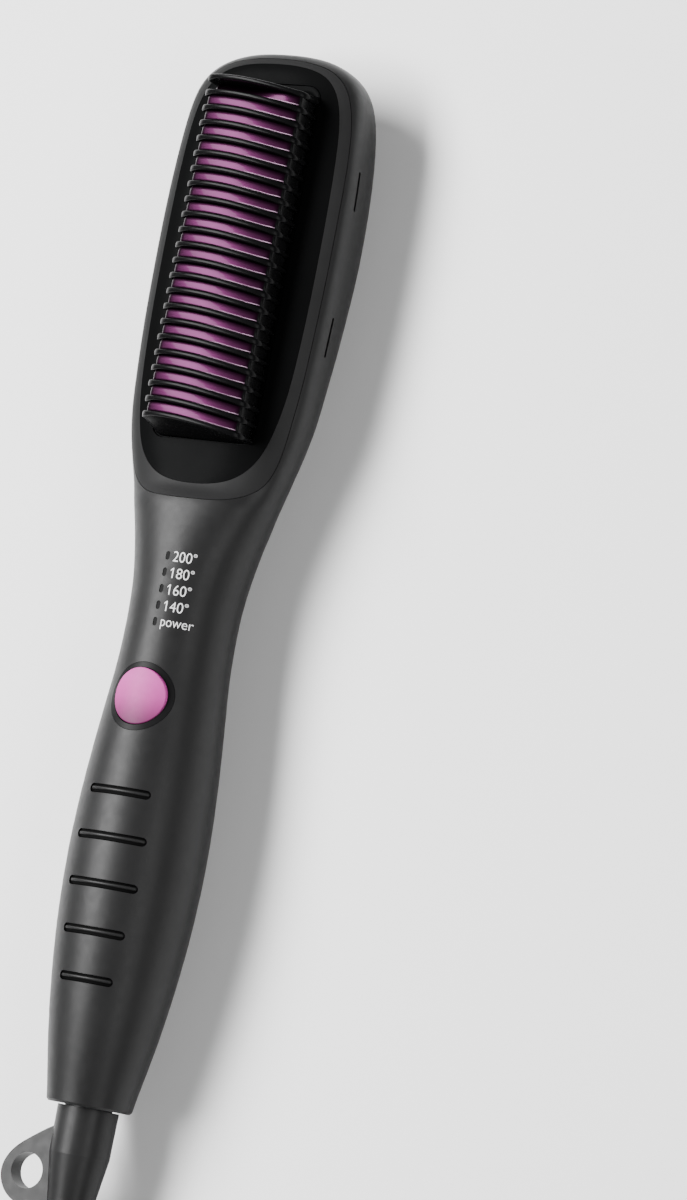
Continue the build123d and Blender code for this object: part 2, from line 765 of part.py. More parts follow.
with BuildPart() as heater_wires:
    for x in (-4.0, 4.0):
        with BuildLine() as route:
            FilletPolyline((x, 3.0 + shift_y, axis_z + 4.75), (x, 4.5 + shift_y, axis_z - 0.5),
                           (x, 16.0 + shift_y, axis_z - 2.5), (x, 40.0 + shift_y, axis_z - 1.2),
                           (x, 55.5 + shift_y, axis_z + 0.2), (x, 58.0 + shift_y, axis_z + 3.9), radius=2.6)
        with BuildSketch(Plane(origin=route.line @ 0, z_dir=route.line % 0)):
            Circle(0.8)
        sweep(path=route.line)

with BuildPart() as comb_frame_done:
    add(comb_frame.part)
    add(frame_holes.part, mode=Mode.SUBTRACT)

front_housing.part.label = "front_housing"
export_step(front_housing.part, "parts/front_housing.step")
rear_cover.part.label = "rear_cover"
export_step(rear_cover.part, "parts/rear_cover.step")
head_bezel.part.label = "head_bezel"
export_step(head_bezel.part, "parts/head_bezel.step")
comb_base_panel.part.label = "comb_base_panel"
export_step(comb_base_panel.part, "parts/comb_base_panel.step")
comb_frame_done.part.label = "comb_frame"
export_step(comb_frame_done.part, "parts/comb_frame.step")
heating_plate.part.label = "heating_plate"
export_step(heating_plate.part, "parts/heating_plate.step")
heater_insulator.part.label = "heater_insulator"
export_step(heater_insulator.part, "parts/heater_insulator.step")
ptc_heaters.part.label = "ptc_heaters"
export_step(ptc_heaters.part, "parts/ptc_heaters.step")
heater_clamp_plate.part.label = "heater_clamp_plate"
export_step(heater_clamp_plate.part, "parts/heater_clamp_plate.step")
heater_tray.part.label = "heater_tray"
export_step(heater_tray.part, "parts/heater_tray.step")
heater_screws.part.label = "heater_screws"
export_step(heater_screws.part, "parts/heater_screws.step")
thermistor.part.label = "thermistor"
export_step(thermistor.part, "parts/thermistor.step")
thermal_fuse.part.label = "thermal_fuse"
export_step(thermal_fuse.part, "parts/thermal_fuse.step")
main_pcb.part.label = "main_pcb"
export_step(main_pcb.part, "parts/main_pcb.step")
pcb_screws.part.label = "pcb_screws"
export_step(pcb_screws.part, "parts/pcb_screws.step")
microcontroller.part.label = "microcontroller"
export_step(microcontroller.part, "parts/microcontroller.step")
power_triac.part.label = "power_triac"
export_step(power_triac.part, "parts/power_triac.step")
filter_capacitor.part.label = "filter_capacitor"
export_step(filter_capacitor.part, "parts/filter_capacitor.step")
indicator_leds.part.label = "indicator_leds"
export_step(indicator_leds.part, "parts/indicator_leds.step")
light_guide.part.label = "light_guide"
export_step(light_guide.part, "parts/light_guide.step")
switch_base.part.label = "switch_base"
export_step(switch_base.part, "parts/switch_base.step")
switch_plunger.part.label = "switch_plunger"
export_step(switch_plunger.part, "parts/switch_plunger.step")
power_button.part.label = "power_button"
export_step(power_button.part, "parts/power_button.step")
button_collar.part.label = "button_collar"
export_step(button_collar.part, "parts/button_collar.step")
housing_screws.part.label = "housing_screws"
export_step(housing_screws.part, "parts/housing_screws.step")
swivel_core.part.label = "swivel_core"
export_step(swivel_core.part, "parts/swivel_core.step")
slip_rings.part.label = "slip_rings"
export_step(slip_rings.part, "parts/slip_rings.step")
contact_block.part.label = "contact_block"
export_step(contact_block.part, "parts/contact_block.step")
contact_springs.part.label = "contact_springs"
export_step(contact_springs.part, "parts/contact_springs.step")
mains_wires.part.label = "mains_wires"
export_step(mains_wires.part, "parts/mains_wires.step")
heater_wires.part.label = "heater_wires"
export_step(heater_wires.part, "parts/heater_wires.step")
cord_sleeve.part.label = "cord_sleeve"
export_step(cord_sleeve.part, "parts/cord_sleeve.step")
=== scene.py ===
import bpy, bmesh, json, math
from mathutils import Vector, Matrix


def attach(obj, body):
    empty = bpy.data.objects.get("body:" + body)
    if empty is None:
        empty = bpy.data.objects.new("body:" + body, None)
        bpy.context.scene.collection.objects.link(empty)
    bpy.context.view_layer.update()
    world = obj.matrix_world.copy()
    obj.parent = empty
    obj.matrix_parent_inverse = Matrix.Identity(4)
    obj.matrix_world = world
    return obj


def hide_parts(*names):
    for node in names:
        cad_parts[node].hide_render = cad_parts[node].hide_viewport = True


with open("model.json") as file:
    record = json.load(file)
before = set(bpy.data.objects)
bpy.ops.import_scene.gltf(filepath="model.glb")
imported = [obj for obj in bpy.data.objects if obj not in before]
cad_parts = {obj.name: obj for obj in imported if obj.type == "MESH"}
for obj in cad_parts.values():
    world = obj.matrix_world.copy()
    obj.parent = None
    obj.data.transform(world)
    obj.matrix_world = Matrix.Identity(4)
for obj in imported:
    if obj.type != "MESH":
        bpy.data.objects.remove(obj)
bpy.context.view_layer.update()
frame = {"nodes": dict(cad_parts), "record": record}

AZ = 17.45          # height of the handle's centre line, mm
SY = 13.75          # shift of the stations along the handle, mm


def mm(x, y, h):
    """Handle stations (mm, height over the centre line) to metres in the frame."""
    return Vector((x / 1000.0, (y + SY) / 1000.0, (h + AZ) / 1000.0))


# sections of the outer form: station, half width, height, depth, roundness of top and bottom
body = [
    (-134.0, 10.75, 10.75, 10.75, 2.0, 2.0),
    (-130.0, 11.37, 11.37, 11.37, 2.0, 2.0),
    (-123.3, 12.57, 12.57, 12.57, 2.0, 2.0),
    (-115.9, 13.82, 13.82, 13.82, 2.0, 2.0),
    (-108.5, 14.86, 14.86, 14.86, 2.0, 2.0),
    (-101.0, 15.74, 15.74, 15.74, 2.0, 2.0),
    (-93.6, 16.46, 16.46, 16.46, 2.0, 2.0),
    (-86.1, 16.97, 16.97, 16.97, 2.0, 2.0),
    (-78.6, 17.28, 17.28, 17.30, 2.0, 2.0),
    (-71.1, 17.40, 17.40, 17.45, 2.0, 2.0),
    (-63.6, 17.29, 17.29, 17.32, 2.0, 2.0),
    (-56.1, 17.00, 17.00, 17.00, 2.0, 2.0),
    (-48.6, 16.55, 16.55, 16.55, 2.0, 2.0),
    (-41.0, 15.96, 15.96, 15.96, 2.0, 2.0),
    (-33.4, 15.28, 15.28, 15.28, 2.0, 2.0),
    (-25.9, 14.63, 14.63, 14.63, 2.0, 2.0),
    (-18.3, 14.16, 14.16, 14.16, 2.0, 2.0),
    (-10.7, 14.12, 14.12, 14.15, 2.0, 2.0),
    (-3.0, 14.55, 14.12, 14.45, 2.0, 2.0),
    (4.6, 15.69, 14.05, 14.80, 2.05, 2.0),
    (12.2, 17.39, 13.55, 14.90, 2.15, 2.0),
    (17.0, 18.70, 12.90, 14.90, 2.25, 2.0),
    (19.9, 19.46, 12.15, 14.80, 2.35, 2.0),
    (23.5, 20.50, 10.00, 14.50, 2.60, 2.05),
    (27.6, 21.65, 9.70, 14.10, 2.80, 2.10),
    (35.3, 23.70, 9.50, 14.00, 3.05, 2.20),
    (43.0, 24.95, 9.30, 14.60, 3.25, 2.35),
    (50.7, 25.50, 9.15, 15.20, 3.40, 2.50),
    (58.4, 25.95, 9.05, 15.70, 3.60, 2.65),
    (66.2, 26.25, 9.00, 16.20, 3.60, 2.85),
    (73.9, 26.45, 9.00, 16.70, 3.60, 3.00),
    (81.7, 26.57, 9.00, 17.15, 3.60, 3.10),
    (89.5, 26.60, 9.00, 17.42, 3.60, 3.20),
    (97.3, 26.50, 9.00, 17.42, 3.60, 3.20),
    (105.1, 26.24, 9.00, 17.25, 3.60, 3.20),
    (113.0, 25.72, 9.00, 16.80, 3.60, 3.20),
    (119.0, 25.20, 8.95, 15.90, 3.60, 3.10),
    (124.5, 24.40, 8.85, 14.60, 3.50, 3.00),
    (129.0, 23.00, 8.60, 12.90, 3.30, 2.85),
    (132.5, 20.60, 8.10, 11.00, 3.00, 2.65),
    (135.0, 17.20, 7.30, 9.00, 2.75, 2.45),
    (136.7, 13.00, 6.10, 6.90, 2.50, 2.25),
    (137.6, 8.20, 4.20, 4.50, 2.20, 2.10),
]


def monotone(xs, ys, x):
    # smooth curve through the stations, with no overshoot between them
    n = len(xs)
    if x <= xs[0]:
        return ys[0]
    if x >= xs[-1]:
        return ys[-1]
    d = [(ys[i + 1] - ys[i]) / (xs[i + 1] - xs[i]) for i in range(n - 1)]
    m = [d[0]] + [0.0] * (n - 2) + [d[-1]]
    for i in range(1, n - 1):
        if d[i - 1] * d[i] > 0:
            w1 = 2 * (xs[i + 1] - xs[i]) + (xs[i] - xs[i - 1])
            w2 = (xs[i + 1] - xs[i]) + 2 * (xs[i] - xs[i - 1])
            m[i] = (w1 + w2) / (w1 / d[i - 1] + w2 / d[i])
    i = max(k for k in range(n - 1) if xs[k] <= x)
    h = xs[i + 1] - xs[i]
    t = (x - xs[i]) / h
    return ((2 * t**3 - 3 * t**2 + 1) * ys[i] + (t**3 - 2 * t**2 + t) * h * m[i]
            + (-2 * t**3 + 3 * t**2) * ys[i + 1] + (t**3 - t**2) * h * m[i + 1])


def section_values(y):
    xs = [s[0] for s in body]
    return [monotone(xs, [s[k] for s in body], y) for k in range(1, 6)]



def top_height(x, y):
    """Height of the outer form over the centre line, straight above (x, y)."""
    a, ht, hb, nt, nb = section_values(y)
    q = min(abs(x) / a, 0.999)
    return ht * (1.0 - q ** nt) ** (1.0 / nt)


# ------------------------------------------------------------------ materials
def new_mat(name):
    m = bpy.data.materials.new(name)
    m.use_nodes = True
    nt = m.node_tree
    nt.nodes.clear()
    out = nt.nodes.new("ShaderNodeOutputMaterial")
    b = nt.nodes.new("ShaderNodeBsdfPrincipled")
    nt.links.new(b.outputs["BSDF"], out.inputs["Surface"])
    return m, nt, b


def coords(nt, scale=(1, 1, 1)):
    tc = nt.nodes.new("ShaderNodeTexCoord")
    mp = nt.nodes.new("ShaderNodeMapping")
    mp.inputs["Scale"].default_value = scale
    nt.links.new(tc.outputs["Object"], mp.inputs["Vector"])
    return mp.outputs["Vector"]


def noise(nt, vec, scale, detail=3.0, rough=0.5):
    n = nt.nodes.new("ShaderNodeTexNoise")
    n.inputs["Scale"].default_value = scale
    n.inputs["Detail"].default_value = detail
    n.inputs["Roughness"].default_value = rough
    nt.links.new(vec, n.inputs["Vector"])
    return n.outputs["Fac"]


def ramp(nt, fac, stops):
    r = nt.nodes.new("ShaderNodeValToRGB")
    el = r.color_ramp.elements
    while len(el) < len(stops):
        el.new(0.5)
    for e, (p, c) in zip(el, stops):
        e.position = p
        e.color = (*c, 1.0) if len(c) == 3 else c
    nt.links.new(fac, r.inputs["Fac"])
    return r.outputs["Color"]


def remap(nt, fac, a, b, lo=0.0, hi=1.0):
    m = nt.nodes.new("ShaderNodeMapRange")
    m.inputs["From Min"].default_value = lo
    m.inputs["From Max"].default_value = hi
    m.inputs["To Min"].default_value = a
    m.inputs["To Max"].default_value = b
    nt.links.new(fac, m.inputs["Value"])
    return m.outputs["Result"]


def bump(nt, height, strength, distance, normal=None):
    b = nt.nodes.new("ShaderNodeBump")
    b.inputs["Strength"].default_value = strength
    b.inputs["Distance"].default_value = distance
    nt.links.new(height, b.inputs["Height"])
    if normal is not None:
        nt.links.new(normal, b.inputs["Normal"])
    return b.outputs["Normal"]


def plastic(name, dark, light, rough, rough_var, grain_scale, grain_bump, spec=0.5, coat=0.0, coat_rough=0.1):
    m, nt, b = new_mat(name)
    v = coords(nt)
    n1 = noise(nt, v, 60.0, 3.0)
    col = ramp(nt, n1, [(0.3, dark), (0.7, light)])
    nt.links.new(col, b.inputs["Base Color"])
    n2 = noise(nt, v, 400.0, 4.0)
    nt.links.new(remap(nt, n2, rough - rough_var, rough + rough_var, 0.3, 0.7), b.inputs["Roughness"])
    n3 = noise(nt, v, grain_scale, 2.0)
    nt.links.new(bump(nt, n3, grain_bump, 0.00004), b.inputs["Normal"])
    b.inputs["Specular IOR Level"].default_value = spec
    b.inputs["Coat Weight"].default_value = coat
    b.inputs["Coat Roughness"].default_value = coat_rough
    return m


def metal(name, stops, rough, rough_var, brush=(1, 1, 1), aniso=0.0, grain=900.0, grain_bump=0.15, coat=0.0):
    m, nt, b = new_mat(name)
    v = coords(nt, brush)
    n1 = noise(nt, v, 120.0, 4.0)
    nt.links.new(ramp(nt, n1, stops), b.inputs["Base Color"])
    b.inputs["Metallic"].default_value = 1.0
    n2 = noise(nt, v, grain, 3.0)
    nt.links.new(remap(nt, n2, rough - rough_var, rough + rough_var, 0.3, 0.7), b.inputs["Roughness"])
    nt.links.new(bump(nt, n2, grain_bump, 0.00003), b.inputs["Normal"])
    b.inputs["Anisotropic"].default_value = aniso
    b.inputs["Coat Weight"].default_value = coat
    return m


MAT = {}
MAT["housing"] = plastic("satin_black", (0.0090, 0.0090, 0.0092), (0.0108, 0.0108, 0.0110), 0.44, 0.03, 2600.0, 0.25, spec=0.19)
MAT["bezel"] = plastic("satin_rim", (0.0135, 0.0135, 0.0137), (0.0160, 0.0160, 0.0162), 0.46, 0.03, 2600.0, 0.22, spec=0.06)
MAT["gloss_panel"] = plastic("gloss_black", (0.0030, 0.0031, 0.0032), (0.0036, 0.0037, 0.0038), 0.26, 0.02, 900.0, 0.03, spec=0.006)
MAT["comb"] = plastic("comb_black", (0.0026, 0.0026, 0.0028), (0.0038, 0.0038, 0.0040), 0.26, 0.02, 2400.0, 0.02, spec=0.06)
MAT["heating_plate"] = metal("purple_anodised", [(0.3, (0.0215, 0.0047, 0.0162)), (0.7, (0.0260, 0.0057, 0.0196))], 0.31, 0.015, (1, 1, 1), 0.0, 2400.0, 0.02, coat=0.05)
MAT["collar"] = plastic("collar_black", (0.005, 0.005, 0.0052), (0.008, 0.008, 0.0082), 0.40, 0.03, 1800.0, 0.12, spec=0.07)
MAT["light_guide"] = plastic("smoked_window", (0.0012, 0.0012, 0.0012), (0.0020, 0.0020, 0.0020), 0.35, 0.02, 900.0, 0.05, spec=0.03)
MAT["sleeve"] = plastic("sleeve_black", (0.012, 0.012, 0.0122), (0.015, 0.015, 0.0152), 0.40, 0.04, 1800.0, 0.25, spec=0.15)


def pink_button_painted_shade():
    """Pink satin lacquer with painted shade: the base colour darkens towards the handle's end, standing in for the
    light falling off across the button.
    """
    m, nt, b = new_mat("pink_satin")
    tc = nt.nodes.new("ShaderNodeTexCoord")
    sep = nt.nodes.new("ShaderNodeSeparateXYZ")
    nt.links.new(tc.outputs["Object"], sep.inputs["Vector"])
    along = remap(nt, sep.outputs["Y"], 0.0, 1.0, (-32.0 + SY - 7.2) / 1000.0, (-32.0 + SY + 7.2) / 1000.0)
    # painted shade: this ramp makes the pink darker towards the handle's end
    base = ramp(nt, along, [(0.0, (0.090, 0.014, 0.055)), (0.20, (0.19, 0.028, 0.115)), (0.50, (0.38, 0.052, 0.235)), (0.78, (0.46, 0.064, 0.290)), (1.0, (0.44, 0.060, 0.280))])
    mix = nt.nodes.new("ShaderNodeMix")
    mix.data_type = "RGBA"
    mix.blend_type = "MULTIPLY"
    mix.inputs["Factor"].default_value = 1.0
    nt.links.new(base, mix.inputs["A"])
    grain = ramp(nt, noise(nt, coords(nt), 700.0, 2.0), [(0.3, (0.95, 0.95, 0.95)), (0.7, (1.0, 1.0, 1.0))])
    nt.links.new(grain, mix.inputs["B"])
    nt.links.new(mix.outputs["Result"], b.inputs["Base Color"])
    nt.links.new(remap(nt, noise(nt, coords(nt), 900.0), 0.42, 0.48, 0.3, 0.7), b.inputs["Roughness"])
    b.inputs["Specular IOR Level"].default_value = 0.12
    return m


MAT["button"] = pink_button_painted_shade()
# near-black groove floor: painted shade standing in for the shadow deep in the grip grooves
MAT["groove_dark"] = plastic("groove_floor_painted_shade", (0.0012, 0.0012, 0.0012), (0.0022, 0.0022, 0.0022), 0.6, 0.05, 1800.0, 0.3, spec=0.02)
# painted highlight: a light metal band on the fins' tail-side edge stands in for the thin highlight line along them
MAT["bright_edge"] = metal("fin_highlight_line", [(0.3, (0.17, 0.11, 0.155)), (0.7, (0.23, 0.155, 0.21))], 0.42, 0.04, (1, 1, 1), 0.0, 2400.0, 0.02)
MAT["tray"] = plastic("inner_black", (0.02, 0.02, 0.021), (0.028, 0.028, 0.03), 0.5, 0.05, 1200.0, 0.3)
MAT["film"] = plastic("amber_film", (0.50, 0.27, 0.05), (0.58, 0.34, 0.08), 0.3, 0.05, 300.0, 0.2)
MAT["ceramic_heater"] = plastic("white_ceramic", (0.72, 0.71, 0.66), (0.82, 0.81, 0.77), 0.6, 0.06, 900.0, 0.4)
MAT["bare_aluminium"] = metal("bare_sheet", [(0.3, (0.72, 0.73, 0.75)), (0.7, (0.80, 0.81, 0.83))], 0.35, 0.06, (1, 12, 1))
MAT["screw_steel"] = metal("zinc_steel", [(0.3, (0.50, 0.50, 0.50)), (0.7, (0.60, 0.60, 0.61))], 0.32, 0.06)
MAT["contact_brass"] = metal("brass", [(0.3, (0.72, 0.54, 0.24)), (0.7, (0.80, 0.62, 0.30))], 0.3, 0.06)
MAT["fuse"] = metal("fuse_can", [(0.3, (0.70, 0.70, 0.70)), (0.7, (0.78, 0.78, 0.78))], 0.3, 0.05)
MAT["thermistor"] = plastic("epoxy_bead", (0.42, 0.14, 0.05), (0.50, 0.19, 0.08), 0.25, 0.05, 600.0, 0.2)
MAT["board"] = plastic("board_green", (0.02, 0.15, 0.06), (0.03, 0.19, 0.08), 0.4, 0.08, 500.0, 0.4)
MAT["chip"] = plastic("chip_black", (0.015, 0.015, 0.015), (0.022, 0.022, 0.022), 0.55, 0.05, 1500.0, 0.4)
MAT["capacitor"] = plastic("cap_yellow", (0.62, 0.45, 0.05), (0.70, 0.52, 0.09), 0.35, 0.05, 700.0, 0.2)
MAT["led"] = plastic("led_lens", (0.80, 0.78, 0.62), (0.88, 0.86, 0.74), 0.15, 0.03, 700.0, 0.1)
MAT["switch"] = plastic("switch_black", (0.02, 0.02, 0.02), (0.03, 0.03, 0.03), 0.5, 0.05, 1300.0, 0.3)
MAT["wire"] = plastic("wire_brown", (0.22, 0.08, 0.03), (0.28, 0.11, 0.05), 0.45, 0.05, 700.0, 0.2)
MAT["heater_wire"] = plastic("wire_silicone", (0.70, 0.70, 0.66), (0.80, 0.80, 0.77), 0.5, 0.05, 700.0, 0.2)

SLOT_OF = {s["node"]: s["material_slot"] for s in frame["record"]["subparts"]}
NODE_OBJ = {}
for node, objs in frame["nodes"].items():
    objs = objs if isinstance(objs, (list, tuple)) else [objs]
    for o in objs:
        NODE_OBJ[node] = o
        for s in o.material_slots:
            s.material = MAT[SLOT_OF[node]]

# ------------------------------------------------------------------ detailed pieces
def mesh_piece(name, verts, faces, mat, body, smooth=True, more=()):
    me = bpy.data.meshes.new(name)
    me.from_pydata([tuple(v) for v in verts], [], faces)
    for slot_no, (_, picked) in enumerate(more, 1):
        for k in picked:
            me.polygons[k].material_index = slot_no
    bmx = bmesh.new()
    bmx.from_mesh(me)
    bmesh.ops.remove_doubles(bmx, verts=bmx.verts, dist=1e-7)
    bmesh.ops.recalc_face_normals(bmx, faces=bmx.faces)
    bmx.to_mesh(me)
    bmx.free()
    for p in me.polygons:
        p.use_smooth = smooth
    me.materials.append(mat)
    for extra, _ in more:
        me.materials.append(extra)
    o = bpy.data.objects.new(name, me)
    bpy.context.scene.collection.objects.link(o)
    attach(o, body)
    return o


def loft_rings(rings, verts, faces, closed=True, caps=True):
    """Skin over rings with the same number of points, appended to verts and faces."""
    base = len(verts)
    n = len(rings[0])
    for r in rings:
        verts.extend(r)
    for k in range(len(rings) - 1):
        for j in range(n if closed else n - 1):
            a = base + k * n + j
            b = base + k * n + (j + 1) % n
            faces.append((a, b, b + n, a + n))
    if caps:
        faces.append(tuple(base + j for j in range(n)))
        faces.append(tuple(base + (len(rings) - 1) * n + j for j in range(n)))


RIB_Y0, PITCH, COUNT = 126.3, 4.014, 23
RIB_YS = [RIB_Y0 - PITCH * i for i in range(COUNT)]
FIN_YS = [RIB_Y0 - PITCH * (i + 0.5) for i in range(COUNT - 1)]
HALF_W, FIN_W = 15.0, 12.9


def rib_line(y, x):
    return y - 0.165 * x + 0.00025 * ((x - 12.0) ** 3 + 1728.0) / 3.0


def rib_top_at(x):
    arch = 18.98 - 1.5 * (x / 12.2) ** 2
    return 10.4 + (arch - 10.4) * max(0.0, 1.0 - abs(x / HALF_W) ** 6) ** (1.0 / 6.0)


def rib_half(x):
    ax = abs(x)
    t = min(max((ax - 11.0) / 2.6, 0.0), 1.0)
    h = 0.60 + 0.20 * t * t * (3 - 2 * t)
    if ax > 14.2:
        h *= math.sqrt(max(0.02, 1.0 - ((ax - 14.2) / 0.8) ** 2))
    return h


def x_stations(half, dense, inner=22):
    ends = [half - dense * (1 - math.sin(math.pi / 2 * k / 9)) for k in range(10)]
    mid = [-(half - dense) + 2 * (half - dense) * k / inner for k in range(1, inner)]
    return [-e for e in reversed(ends)] + mid + ends


def rib_profile(h, zt, zb, r):
    r = min(r, h * 0.96)
    pts = [(-h, zb), (-h, 0.5 * (zb + zt - r))]
    for k in range(6):
        a = math.pi - math.pi / 2 * k / 5
        pts.append((-(h - r) + r * math.cos(a), zt - r + r * math.sin(a)))
    for k in range(6):
        a = math.pi / 2 - math.pi / 2 * k / 5
        pts.append(((h - r) + r * math.cos(a), zt - r + r * math.sin(a)))
    return pts + [(h, 0.5 * (zb + zt - r)), (h, zb)]


BLOCK_Y0, BLOCK_Y1 = 34.7, 128.6


def end_profile(h, zt, zb, r, foot, side):
    """Like rib_profile, but the side away from the comb runs out to a straight foot."""
    pts = rib_profile(h, zt, zb, r)[:-2]
    start = pts[-1][1]
    foot = max(foot, h + 0.02)
    for k in range(1, 10):
        f = k / 9
        pts.append((h + (foot - h) * f ** 1.25, start + (zb - start) * f))
    return [(side * v, z) for v, z in pts]


verts, faces = [], []
XS = x_stations(HALF_W, 3.2)
for i, y in enumerate(RIB_YS):
    rings = []
    for x in XS:
        h = rib_half(x)
        zt = max(rib_top_at(x), 9.9)
        yc = rib_line(y, x)
        corner = 4.0 - math.sqrt(max(0.0, 16.0 - max(0.0, abs(x) - 11.0) ** 2))
        if i == 0:
            profile = end_profile(h, zt, 8.3, 0.5, min(1.7, BLOCK_Y1 - 0.3 - corner - yc), 1)
        elif i == COUNT - 1:
            profile = end_profile(h, zt, 8.3, 0.5, yc - (BLOCK_Y0 + 0.3 + corner), -1)
        else:
            profile = rib_profile(h, zt, 8.3, 0.5)
        rings.append([mm(x, yc + v, z) for v, z in profile])
    loft_rings(rings, verts, faces)


def rounded_loop(half_x, y0, y1, r, z, per=8, side=10):
    pts = []
    corners = [(half_x - r, y1 - r, 0), (-half_x + r, y1 - r, 90), (-half_x + r, y0 + r, 180), (half_x - r, y0 + r, 270)]
    for i, (cx, cy, a0) in enumerate(corners):
        arc = [(cx + r * math.cos(math.radians(a0 + 90 * k / per)), cy + r * math.sin(math.radians(a0 + 90 * k / per))) for k in range(per + 1)]
        nx, ny, na = corners[(i + 1) % 4]
        nxt = (nx + r * math.cos(math.radians(na)), ny + r * math.sin(math.radians(na)))
        pts += arc
        pts += [(arc[-1][0] + (nxt[0] - arc[-1][0]) * k / side, arc[-1][1] + (nxt[1] - arc[-1][1]) * k / side) for k in range(1, side)]
    return [mm(px, py, z) for px, py in pts]


block_from = len(faces)
rings = [rounded_loop(15.0, BLOCK_Y0, BLOCK_Y1, 4.0, 3.85), rounded_loop(15.0, BLOCK_Y0, BLOCK_Y1, 4.0, 8.2)]
for k in range(1, 5):
    a = math.pi / 2 * k / 4
    e = 0.2 * (1 - math.cos(a))
    rings.append(rounded_loop(15.0 - e, BLOCK_Y0 + e, BLOCK_Y1 - e, 4.0 - e, 8.2 + 0.2 * math.sin(a)))
rings.append(rounded_loop(12.96, BLOCK_Y0 + 2.42, BLOCK_Y1 - 3.32, 1.6, 8.45))
rings.append(rounded_loop(12.96, BLOCK_Y0 + 2.42, BLOCK_Y1 - 3.32, 1.6, 8.3))
rings.append(rounded_loop(13.3, BLOCK_Y0 + 2.1, BLOCK_Y1 - 2.6, 2.1, 8.1))
rings.append(rounded_loop(13.3, BLOCK_Y0 + 2.1, BLOCK_Y1 - 2.6, 2.1, 3.85))
loft_rings(rings, verts, faces, caps=False)

comb_vis = mesh_piece("comb_ribs", verts, faces, MAT["comb"], "brush", more=[(MAT["gloss_panel"], range(block_from, len(faces)))])
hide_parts("comb_frame")

# purple fins between the ribs: crowned along and across, on a plate below them
verts, faces = [], []


def fin_top_at(x):
    arch = 18.17 - 1.62 * (x / FIN_W) ** 2
    return 10.4 + (arch - 10.4) * max(0.0, 1.0 - abs(x / FIN_W) ** 26) ** (1.0 / 26.0)


FIN_H = 1.36
FIN_RIGHT = 14.2        # the fins reach further under the ribs' right ends
highlight_faces, end_faces = [], []
for i, y in enumerate(FIN_YS):
    rings = []
    xs_fin = x_stations(FIN_W, 1.4)
    for x in xs_fin:
        zt = fin_top_at(x)
        sink = 0.0
        if i == 0:      # the fin under the lip sits deeper and leans back, most of all at its left end
            f = min(max((11.0 - x) / 13.0, 0.0), 1.0)
            sink = f * f * (3 - 2 * f)
            zt -= 2.4 * sink
        xr = x * (1.0 + (FIN_RIGHT / FIN_W - 1.0) * max(0.0, x / FIN_W) ** 2)
        yc = rib_line(y, xr)
        foot = 9.8 if xr < 12.7 else 8.5
        cut = 0.12 * min(max((xr - 10.5) / 2.5, 0.0), 1.0)      # the ribs are wider at their ends
        # painted highlight: the band of this width at the fin's tail-side edge takes the light metal finish
        highlight_band_w = 0.01 + 0.15 * min(max((xr + 1.0) / 5.0, 0.0), 1.0)
        stations = [-1.0, -0.94 + cut]
        start = -0.94 + cut + highlight_band_w
        stations += [start + (1.0 - start) * math.sin(math.pi / 2 * k / 18) for k in range(19)]
        ring = [mm(xr, yc - FIN_H, foot)]
        for v in stations:
            z = zt - 0.34 * max(0.0, v + 0.10) ** 2 - 0.03 * v * v - 0.26 * abs(v) ** 12 - 0.75 * sink * (v + 1.0)
            ring.append(mm(xr, yc + FIN_H * v, max(z, 10.6)))
        ring.append(mm(xr, yc + FIN_H, foot))
        rings.append(ring)
    first = len(faces)
    loft_rings(rings, verts, faces)
    n_ring = len(rings[0])
    for r in range(len(rings) - 1):
        if xs_fin[r] > 12.35:       # the ends are covered by the black frame
            end_faces += [first + r * n_ring + k for k in range(n_ring)]
        # painted highlight: on the fins' right parts the tail-side edge band gets the light metal finish
        elif xs_fin[r] > (-1.5 if i > 0 else 4.0):
            highlight_faces += [first + r * n_ring + 2]
    end_faces.append(len(faces) - 1)
rings = [rounded_loop(12.85, 37.25, 125.15, 1.4, 8.62), rounded_loop(12.9, 37.2, 125.2, 1.5, 10.8), rounded_loop(12.7, 37.4, 125.0, 1.3, 11.0)]
loft_rings(rings, verts, faces)
fins_vis = mesh_piece("purple_fins", verts, faces, MAT["heating_plate"], "brush", more=[(MAT["bright_edge"], highlight_faces), (MAT["comb"], end_faces)])
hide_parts("heating_plate")

# rounded ridges in the grip grooves, each on a near-black rough floor strip: painted shade in the groove
verts, faces = [], []
groove_shade_faces = []
for gy, gh in zip([-56.2, -67.8, -79.6, -91.4, -103.1], [8.7, 9.9, 9.9, 8.8, 7.6]):
    rings = []
    reach, w = gh - 0.08, 1.08
    for x in x_stations(reach, w, 26):
        k_end = max(0.0, (abs(x) - (reach - w)) / w)
        h = w * math.sqrt(max(0.004, 1.0 - k_end ** 2))
        ring = [mm(x, gy + h * (k / 4 - 1.0), top_height(x, gy + h * (k / 4 - 1.0)) - 0.45) for k in range(9)]
        ring += [mm(x, gy + h * (1.0 - k / 4), top_height(x, gy + h * (1.0 - k / 4)) - 0.53) for k in range(9)]
        rings.append(ring)
    first = len(faces)
    loft_rings(rings, verts, faces)
    groove_shade_faces += range(first, len(faces))
    rings = []
    run = gh - 0.35
    hw = 0.46
    for x in x_stations(run, hw, 30):
        k_end = max(0.0, (abs(x) - (run - hw)) / hw)
        h = hw * math.sqrt(max(0.01, 1.0 - k_end ** 2))
        ring = []
        for k in range(11):
            v = -1.0 + 2.0 * k / 10
            q = math.sqrt(max(0.0, 1.0 - v * v)) * (h / hw)
            yy = gy + 0.10 + h * v
            ring.append(mm(x, yy, top_height(x, yy) - 0.55 + 0.45 * q))
        rings.append(ring)
    loft_rings(rings, verts, faces)
ridges = mesh_piece("grip_ridges", verts, faces, MAT["housing"], "brush", more=[(MAT["groove_dark"], groove_shade_faces)])

